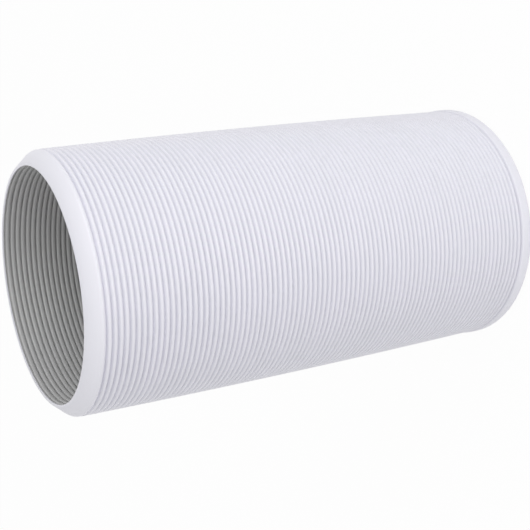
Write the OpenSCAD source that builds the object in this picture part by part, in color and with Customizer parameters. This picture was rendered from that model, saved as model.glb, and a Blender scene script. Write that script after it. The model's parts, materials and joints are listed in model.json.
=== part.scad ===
// Exhaust hose of a portable air conditioner, pushed together to its shortest length.
// One blow-moulded polypropylene tube stands on the rim of a mouth, with its axis along Z.
// Its thin wall turns back on itself at every fold: a rounded crest outside, a flat root inside.
// Each end closes with a smooth lip: a flat band outside, then a cone in to the cut rim of the mouth.
// Inside, the roots and the ribs of the lip are one even row from rim to rim.

/* [Hose] */
// Outside diameter over the crests at the middle of the hose
outer_d = 150; // [100:1:200]
// Depth of the folds at the middle, from a crest outside to a root in the bore
fold_depth = 9.4; // [6:0.1:11]
// How far the crests in the middle stand out past those next to the lips
belly = 1.1; // [0:0.1:2]
// Thickness of the moulded wall
wall = 0.6; // [0.4:0.05:0.8]

/* [Folds] */
// Number of grooves that show outside, from lip to lip
groove_count = 87; // [3:1:100]
// Distance from one groove to the next
fold_pitch = 3.145; // [2.8:0.005:3.6]
// Clear gap between two neighbouring crests
groove_gap = 0.7; // [0.4:0.05:0.9]

/* [End lips] */
// Distance from the rim of a mouth to the middle of the first groove
lip_length = 9.2; // [8:0.1:14]
// How far the smooth band of a lip lies below the crests at the middle
band_drop = 0.5; // [0:0.1:2]
// Radius of the nose, where the band bends into the cone of the mouth
nose_r = 2.2; // [1.2:0.1:2.6]
// Radius of the shoulder, where the band bends into the first groove
shoulder_r = 1.3; // [0.9:0.1:1.4]
// Angle between the cone of the mouth and a flat end, in degrees
cone_lean = 12; // [5:1:20]
// Number of ribs inside a lip, which carry on the pitch of the roots towards the rim
lip_ribs = 2; // [0:1:2]

/* [Hidden] */
// Smoothness of every true round
$fn = 96;
// Turn from one flat to the next, in degrees: round a crest outside, and in the turns out of sight
crest_step = 45;
square_step = 90;
// How far the folded wall runs on up the rear side of a lip
lap = 0.5;

// Radii from the hose's own axis
crest_r = outer_d / 2;
bore_r = crest_r - fold_depth;
band_r = crest_r - band_drop;

// Radius of the middle of the wall in the bend of a root, and in the bend of a crest
root_bend = (groove_gap + wall) / 2;
crest_bend = fold_pitch / 2 - root_bend;
// Distance of the root bends' centres from the hose's axis
root_c = bore_r + wall / 2 + root_bend;

// Places along the hose, measured from the rim that it stands on
rear = lip_length - groove_gap / 2;
nose_y = ((band_r - nose_r - bore_r) * sin(cone_lean) + nose_r) / cos(cone_lean);
hose_length = 2 * lip_length + (groove_count - 1) * fold_pitch;

// Directions along the cone of the mouth, and out of its outer face
along_cone = [cos(cone_lean), sin(cone_lean)];
out_of_cone = [sin(cone_lean), -cos(cone_lean)];

// In every section below, x is the distance from the axis and y is the height above the floor.

// Distance of fold i's crest bend from the hose's axis: the folds at both ends lie a belly lower
function crest_c(i) =
    crest_r - belly * pow(2 * i / (groove_count - 2) - 1, 2) - wall / 2 - crest_bend;

// Corners of half a round in flats that touch it: outward is 1 for a crest and -1 for a root
function bend_corners(centre, r, outward, step) = [
    for (turn = [step / 2 - 90 : step : 90 - step / 2])
        centre + r / cos(step / 2) * [outward * cos(turn), sin(turn)]
];

// One skin's turn at the root of groove i, where side is 1 for the outer skin and -1 for the bore's
function root_turn(i, side) = bend_corners(
    [root_c, lip_length + i * fold_pitch], root_bend - side * wall / 2, -1, square_step);

// One skin's turn at the crest of fold i, which follows groove i
function crest_turn(i, side) = bend_corners(
    [crest_c(i), lip_length + (i + 0.5) * fold_pitch], crest_bend + side * wall / 2, 1,
    side > 0 ? crest_step : square_step);

// One skin of the folded wall, from the rear side of one lip to that of the other
function skin(side) = [
    [root_c + lap, lip_length - root_bend + side * wall / 2],
    each root_turn(0, side),
    for (i = [0 : groove_count - 2])
        each concat(crest_turn(i, side), root_turn(i + 1, side)),
    [root_c + lap, hose_length - lip_length + root_bend - side * wall / 2]
];

module folds_section() {
    bore_skin = skin(-1);
    polygon(concat(skin(1), [for (k = [len(bore_skin) - 1 : -1 : 0]) bore_skin[k]]));
}

// Solid outline of a lip, pulled in on every side by an inset
module lip_outline(inset) {
    nose = nose_r - inset;
    shoulder = shoulder_r - inset;
    nose_c = [band_r - nose_r, nose_y];
    shoulder_c = [band_r - shoulder_r, rear - shoulder_r];
    cone_top = nose_c + nose * out_of_cone;
    cone_foot = cone_top - fold_depth * along_cone;
    translate(nose_c)
        circle(r = nose);
    translate(shoulder_c)
        circle(r = shoulder);
    polygon([
        cone_foot,
        cone_top,
        nose_c + [nose, 0],
        shoulder_c + [shoulder, 0],
        shoulder_c + [0, shoulder],
        [cone_foot[0], rear - inset]
    ]);
}

// Wall of a lip: the cone reaches in to the bore, and the rear side only to the first root
module lip_section() {
    intersection() {
        difference() {
            lip_outline(0);
            lip_outline(wall);
        }
        union() {
            translate([bore_r, 0])
                square([fold_depth, nose_y]);
            translate([root_c, 0])
                square([fold_depth, lip_length]);
        }
    }
}

// Ribs inside a lip: each has the foot of a root, and reaches out into the wall of the lip
module lip_ribs_section() {
    foot = root_bend + wall / 2;
    intersection() {
        lip_outline(wall / 2);
        for (k = [1 : 1 : lip_ribs])
            translate([bore_r, lip_length - k * fold_pitch - foot])
                square([fold_depth, 2 * foot]);
    }
}

module end_section() {
    lip_section();
    lip_ribs_section();
}

module wall_section() {
    folds_section();
    end_section();
    translate([0, hose_length])
        mirror([0, 1])
            end_section();
}

module hose() {
    color("white")
        rotate_extrude()
            wall_section();
}

hose();
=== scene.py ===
# Exhaust hose of a portable air conditioner, pushed together, standing on a mouth on a pale floor.
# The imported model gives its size, its bore, its lower lip and its row of folds. This script draws
# the folds closed up, because pushed-together ones touch, bevels the upper lip, and gives the hose
# its plastic, light and view.
import json
import math

import bpy
from mathutils import Matrix, Vector


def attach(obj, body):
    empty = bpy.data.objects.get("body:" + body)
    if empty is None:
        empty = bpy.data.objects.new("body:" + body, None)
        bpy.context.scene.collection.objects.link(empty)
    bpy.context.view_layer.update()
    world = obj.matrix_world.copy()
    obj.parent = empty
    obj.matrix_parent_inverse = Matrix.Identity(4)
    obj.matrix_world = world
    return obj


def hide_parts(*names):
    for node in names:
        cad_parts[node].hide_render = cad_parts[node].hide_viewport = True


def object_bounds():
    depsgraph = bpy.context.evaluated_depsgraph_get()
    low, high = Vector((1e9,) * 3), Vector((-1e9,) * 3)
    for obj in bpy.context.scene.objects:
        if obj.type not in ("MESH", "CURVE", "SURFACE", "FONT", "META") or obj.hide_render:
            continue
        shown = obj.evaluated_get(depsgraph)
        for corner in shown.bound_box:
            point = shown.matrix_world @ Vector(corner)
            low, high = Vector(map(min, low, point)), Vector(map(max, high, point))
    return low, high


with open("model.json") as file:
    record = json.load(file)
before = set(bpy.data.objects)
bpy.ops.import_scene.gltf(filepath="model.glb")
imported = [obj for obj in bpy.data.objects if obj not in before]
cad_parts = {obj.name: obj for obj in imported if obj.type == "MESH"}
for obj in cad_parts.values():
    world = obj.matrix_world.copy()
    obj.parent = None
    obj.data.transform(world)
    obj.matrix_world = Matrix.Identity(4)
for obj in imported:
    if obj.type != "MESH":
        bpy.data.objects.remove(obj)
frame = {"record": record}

CAD_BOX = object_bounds()
MM = 0.001

# Sizes of the hose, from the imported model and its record
HOSE_LENGTH = CAD_BOX[1][2]
CREST_RADIUS = CAD_BOX[1][1]
MIDDLE = Vector((0, 0, HOSE_LENGTH / 2))
MOUNTS = {mount["name"]: mount["dims"] for mount in frame["record"]["mounts"]}
BORE_RADIUS = MOUNTS["mouth_top"]["r_mm"] * MM
RIM_WIDTH = MOUNTS["mouth_top"]["length_mm"] * MM
BAND_RADIUS = MOUNTS["lip_top"]["r_mm"] * MM

# The folds: how many grooves show outside, where the first one lies, and how far apart they are
GROOVES = 87
LIP_LENGTH = 9.2 * MM
PITCH = (HOSE_LENGTH - 2 * LIP_LENGTH) / (GROOVES - 1)
# How far the crests in the middle of the hose stand out past those next to the lips
BELLY = 1.1 * MM
GROOVE_DEPTH = 2.4 * MM
GROOVE_FLOOR = 0.5 * MM
# A crest's round: its radius, how far it turns to either side in degrees, and its number of flats
CREST_ROUND = 0.95 * MM
CREST_TURN = 60
CREST_FLATS = 3

# The lips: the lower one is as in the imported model, and the photograph shows the upper one with a
# long bevel. The lean is in degrees from a flat end, and nose_end is the direction in degrees
# where the nose ends, with 0 straight outwards.
LOWER_LIP = {
    "rim_flat": 0.4 * MM,
    "lean": 12,
    "nose_radius": 2.2 * MM,
    "nose_end": 0,
    "crest": BAND_RADIUS,
}
UPPER_LIP = {
    "rim_flat": 1.65 * MM,
    "lean": 48,
    "nose_radius": 3.9 * MM,
    "nose_end": -20,
    "crest": BAND_RADIUS - 0.75 * MM,
}
NOSE_FLATS = 5
# The shoulder, where the smooth band of a lip bends into the first groove
SHOULDER_RADIUS = 1.3 * MM
SHOULDER_HEIGHT = 7.55 * MM
SHOULDER_TURN = 60
SHOULDER_FLATS = 3

# The bore: rounded roots with a narrow slit between them, the same row from rim to rim
ROOT_WIDTH = 2.45 * MM
ROOT_ROUND = 0.3 * MM
SLIT_DEPTH = 1.6 * MM
RIM_SLIT_DEPTH = 1.2 * MM
LIP_RIBS = 2

# The photograph shows the hose lying. This turn stands what is placed round a lying hose up
# with it.
STAND_UP = Matrix.Translation(MIDDLE) @ Matrix.Rotation(math.radians(90), 4, "Y")


def linear(hex_colour):
    """The linear red, green, blue and alpha of an sRGB hex colour."""
    channels = [int(hex_colour[i:i + 2], 16) / 255 for i in (1, 3, 5)]
    return [c / 12.92 if c <= 0.04045 else ((c + 0.055) / 1.055) ** 2.4 for c in channels] + [1]


def add(tree, kind, links=None, **settings):
    """Adds a node.

    settings are its properties, and links maps an input to a value or to another node's output.
    """
    node = tree.nodes.new(kind)
    for name, value in settings.items():
        setattr(node, name, value)
    for name, source in (links or {}).items():
        if isinstance(source, bpy.types.NodeSocket):
            tree.links.new(source, node.inputs[name])
        else:
            node.inputs[name].default_value = source
    return node


def new_material(name):
    """An empty node material, with its tree and its output."""
    material = bpy.data.materials.new(name)
    material.use_nodes = True
    material.node_tree.nodes.clear()
    return material, material.node_tree, add(material.node_tree, "ShaderNodeOutputMaterial")


def blow_moulded_polypropylene(name, light_tone, dark_tone):
    """Polypropylene, blown against a fine matt mould.

    It gives the eye an even satin surface, a soft highlight without an edge, and faint flow streaks
    round the hose, between a light and a dark tone.
    """
    streak_height = 12 * MM
    # Streaks run round the hose, so they are stretched across its axis.
    streak_stretch = (0.25, 0.25, 1)
    mottle_size = 5 * MM
    grain_size = 0.5 * MM
    grain_relief = 0.03 * MM
    material, tree, output = new_material(name)
    place = add(tree, "ShaderNodeTexCoord").outputs["Object"]
    streaks = add(tree, "ShaderNodeTexNoise", {
        "Vector": add(tree, "ShaderNodeMapping", {
            "Vector": place, "Scale": streak_stretch,
        }).outputs[0],
        "Scale": 1 / streak_height, "Detail": 3.0, "Roughness": 0.5,
    }).outputs["Fac"]
    # Inputs 6 and 7 of a Mix node, and its output 2, are its colours.
    colour = add(tree, "ShaderNodeMix", {
        "Factor": streaks, 6: linear(light_tone), 7: linear(dark_tone),
    }, data_type="RGBA").outputs[2]
    mottle = add(tree, "ShaderNodeTexNoise", {
        "Vector": place, "Scale": 1 / mottle_size, "Detail": 2.0,
    }).outputs["Fac"]
    roughness = add(tree, "ShaderNodeMapRange", {
        "Value": mottle, "To Min": 0.38, "To Max": 0.48,
    }).outputs["Result"]
    grain = add(tree, "ShaderNodeTexNoise", {
        "Vector": place, "Scale": 1 / grain_size, "Detail": 2.0,
    }).outputs["Fac"]
    relief = add(tree, "ShaderNodeBump", {
        "Height": grain, "Strength": 0.25, "Distance": grain_relief,
    }).outputs["Normal"]
    plastic = add(tree, "ShaderNodeBsdfPrincipled", {
        "Base Color": colour, "Roughness": roughness, "Normal": relief, "IOR": 1.49,
    })
    tree.links.new(plastic.outputs[0], output.inputs["Surface"])
    return material


def seen_or_mirrored(tree):
    """1 for rays from the camera, from mirror-like surfaces or through clear ones, otherwise 0."""
    rays = add(tree, "ShaderNodeLightPath").outputs
    sharp = add(tree, "ShaderNodeMath", {
        0: rays["Is Glossy Ray"], 1: rays["Is Transmission Ray"],
    }, operation="MAXIMUM").outputs[0]
    return add(tree, "ShaderNodeMath", {
        0: rays["Is Camera Ray"], 1: sharp,
    }, operation="MAXIMUM").outputs[0]


def studio_floor():
    """Seamless white paper: it shows almost pure white, with a trace of the hose's soft shadow."""
    paper_glow = 0.96
    half_side = 9.0
    material, tree, output = new_material("white_paper_floor")
    glow = add(tree, "ShaderNodeMath", {
        0: seen_or_mirrored(tree), 1: paper_glow,
    }, operation="MULTIPLY").outputs[0]
    paper = add(tree, "ShaderNodeBsdfDiffuse", {"Color": linear("#F4F4F4")})
    white = add(tree, "ShaderNodeEmission", {"Color": linear("#FFFFFF"), "Strength": 1.0})
    mix = add(tree, "ShaderNodeMixShader", {0: glow, 1: paper.outputs[0], 2: white.outputs[0]})
    tree.links.new(mix.outputs[0], output.inputs["Surface"])
    mesh = bpy.data.meshes.new("floor")
    corners = [(-1, -1), (1, -1), (1, 1), (-1, 1)]
    mesh.from_pydata([(x * half_side, y * half_side, 0) for x, y in corners], [], [(0, 1, 2, 3)])
    mesh.materials.append(material)
    floor = bpy.data.objects.new("floor", mesh)
    bpy.context.scene.collection.objects.link(floor)


def studio_world():
    """Even soft light from all round, which looks pure white itself."""
    fill_strength = 0.62
    world = bpy.data.worlds.new("studio")
    world.use_nodes = True
    tree = world.node_tree
    tree.nodes.clear()
    strength = add(tree, "ShaderNodeMapRange", {
        "Value": seen_or_mirrored(tree), "To Min": fill_strength, "To Max": 1.0,
    }).outputs["Result"]
    background = add(tree, "ShaderNodeBackground", {
        "Color": linear("#FFFFFF"), "Strength": strength,
    })
    output = add(tree, "ShaderNodeOutputWorld")
    tree.links.new(background.outputs[0], output.inputs["Surface"])
    bpy.context.scene.world = world


def softbox(name, place, width, power):
    """A square area lamp that faces the middle of the hose."""
    lamp = bpy.data.lights.new(name, "AREA")
    lamp.size = width
    lamp.energy = power
    lamp_object = bpy.data.objects.new(name, lamp)
    lamp_object.location = place
    lamp_object.rotation_euler = (MIDDLE - Vector(place)).to_track_quat("-Z", "Y").to_euler()
    bpy.context.scene.collection.objects.link(lamp_object)


def camera_as_in_the_photograph():
    """The photograph's camera. It keeps its place beside the hose, so the hose shows lying."""
    image_width_px = 530
    focal_px = 1084.15
    sensor_mm = 36
    from_middle = Vector((-320.05, -547.51, 177.2)) * MM
    heading = math.radians(30.065)
    look_down = math.radians(16.395)
    ahead = Vector((
        math.sin(heading) * math.cos(look_down),
        math.cos(heading) * math.cos(look_down),
        -math.sin(look_down),
    ))
    camera = bpy.data.cameras.new("camera")
    camera.sensor_width = sensor_mm
    camera.lens = focal_px / image_width_px * sensor_mm
    camera.clip_start = 0.01
    camera.clip_end = 100
    camera_object = bpy.data.objects.new("camera", camera)
    turn = ahead.to_track_quat("-Z", "Y").to_matrix().to_4x4()
    camera_object.matrix_world = STAND_UP @ Matrix.Translation(from_middle) @ turn
    bpy.context.scene.collection.objects.link(camera_object)
    bpy.context.scene.camera = camera_object


def arc(centre, radius, first, last, flats):
    """Points (radius, height) of a round, from one direction to another.

    Directions are in degrees: 0 points outwards and 90 up.
    """
    turns = [math.radians(first + (last - first) * i / flats) for i in range(flats + 1)]
    return [
        (centre[0] + radius * math.cos(turn), centre[1] + radius * math.sin(turn))
        for turn in turns
    ]


def lip_points(rim_flat, lean, nose_radius, nose_end, crest):
    """Outside of a lip at the lower end: flat rim, cone, nose and the first groove's shoulder."""
    cone_foot = BORE_RADIUS + rim_flat
    lean_turn = math.radians(lean)
    across = (crest - nose_radius - cone_foot) * math.sin(lean_turn) + nose_radius
    nose_centre = (crest - nose_radius, across / math.cos(lean_turn))
    nose = arc(nose_centre, nose_radius, lean - 90, nose_end, NOSE_FLATS)
    shoulder_centre = (nose[-1][0] - SHOULDER_RADIUS, SHOULDER_HEIGHT)
    shoulder = arc(shoulder_centre, SHOULDER_RADIUS, 0, SHOULDER_TURN, SHOULDER_FLATS)
    return [(cone_foot, 0)] + nose + shoulder


def fold_points():
    """Outside of the folds: round crests between narrow grooves, a little higher in the middle."""
    end_floor = CREST_RADIUS - BELLY - GROOVE_DEPTH
    points = [(end_floor, LIP_LENGTH - GROOVE_FLOOR / 2)]
    for fold in range(GROOVES - 1):
        from_middle = 2 * fold / (GROOVES - 2) - 1
        crest = CREST_RADIUS - BELLY * from_middle ** 2
        groove = LIP_LENGTH + fold * PITCH
        crest_centre = (crest - CREST_ROUND, groove + PITCH / 2)
        points.append((crest - GROOVE_DEPTH, groove + GROOVE_FLOOR / 2))
        points += arc(crest_centre, CREST_ROUND, -CREST_TURN, CREST_TURN, CREST_FLATS)
        points.append((crest - GROOVE_DEPTH, groove + PITCH - GROOVE_FLOOR / 2))
    points.append((end_floor, HOSE_LENGTH - LIP_LENGTH + GROOVE_FLOOR / 2))
    return points


def root_points():
    """The bore: each root, and each rib inside a lip, stands between two slits."""
    half = ROOT_WIDTH / 2
    slit = BORE_RADIUS + SLIT_DEPTH
    points = []
    for root in range(-LIP_RIBS, GROOVES + LIP_RIBS):
        height = LIP_LENGTH + root * PITCH
        points += [
            (slit, height - half),
            (BORE_RADIUS + ROOT_ROUND, height - half),
            (BORE_RADIUS, height - half + ROOT_ROUND),
            (BORE_RADIUS, height + half - ROOT_ROUND),
            (BORE_RADIUS + ROOT_ROUND, height + half),
            (slit, height + half),
        ]
    return points


def rim_points():
    """The lower mouth's cut edge in the bore, and the shallow slit behind it."""
    first_rib = LIP_LENGTH - LIP_RIBS * PITCH - ROOT_WIDTH / 2
    slit = BORE_RADIUS + RIM_SLIT_DEPTH
    return [(BORE_RADIUS, 0), (BORE_RADIUS, RIM_WIDTH), (slit, RIM_WIDTH), (slit, first_rib)]


def turned_over(points):
    """The same points on the other end of the hose, in the order that carries the outline on."""
    return [(radius, HOSE_LENGTH - height) for radius, height in reversed(points)]


def folded_wall(outside_plastic, bore_plastic_painted_shade):
    """The hose's wall, pushed together: its section turned round the axis."""
    steps_round = 88
    sharp_edge = math.radians(50)
    outside = lip_points(**LOWER_LIP) + fold_points() + turned_over(lip_points(**UPPER_LIP))
    # The first and the last rib each meet a rim's shallow slit, so their outer point is left out.
    inside = rim_points() + root_points()[1:-1] + turned_over(rim_points())
    section = outside + inside[::-1]
    count = len(section)
    turns = [math.tau * step / steps_round for step in range(steps_round)]
    vertices = [(r * math.cos(turn), r * math.sin(turn), z) for turn in turns for r, z in section]
    faces = []
    for step in range(steps_round):
        here = step * count
        ahead = (step + 1) % steps_round * count
        for i in range(count):
            j = (i + 1) % count
            faces.append((here + i, ahead + i, ahead + j, here + j))
    # The flat rims and the cut edges have the outside's plastic, and the bore's, greyed with
    # painted shade, starts behind them.
    in_bore = [int(len(outside) < i < count - 2) for i in range(count)]
    mesh = bpy.data.meshes.new("folded_wall")
    mesh.from_pydata(vertices, [], faces)
    mesh.polygons.foreach_set("material_index", in_bore * steps_round)
    mesh.shade_smooth()
    mesh.set_sharp_from_angle(angle=sharp_edge)
    mesh.materials.append(outside_plastic)
    mesh.materials.append(bore_plastic_painted_shade)
    wall = bpy.data.objects.new("folded_wall", mesh)
    bpy.context.scene.collection.objects.link(wall)
    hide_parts("hose")
    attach(wall, "root")


camera_as_in_the_photograph()
# White outside, with a cool cast. The bore is of the same plastic, in a greyer tone that is
# partly its own colour and partly painted shade of the tube's inside.
folded_wall(
    blow_moulded_polypropylene("blow_moulded_polypropylene", "#ECEBF3", "#E7E7EE"),
    # The bore's grey tones are painted shade of the tube's inside, partly the plastic's own colour.
    blow_moulded_polypropylene("blow_moulded_polypropylene_bore_painted_shade", "#C3C3C3", "#BCBCBC"),
)
studio_floor()
studio_world()
softbox("key", place=(0.5, -1.9, 0.6), width=1.6, power=9.5)
softbox("above", place=(1.4, -0.6, 1.2), width=1.3, power=9)
softbox("low", place=(-1.0, -1.2, 0.15), width=1.2, power=0.8)

bpy.context.scene.view_settings.view_transform = "Standard"
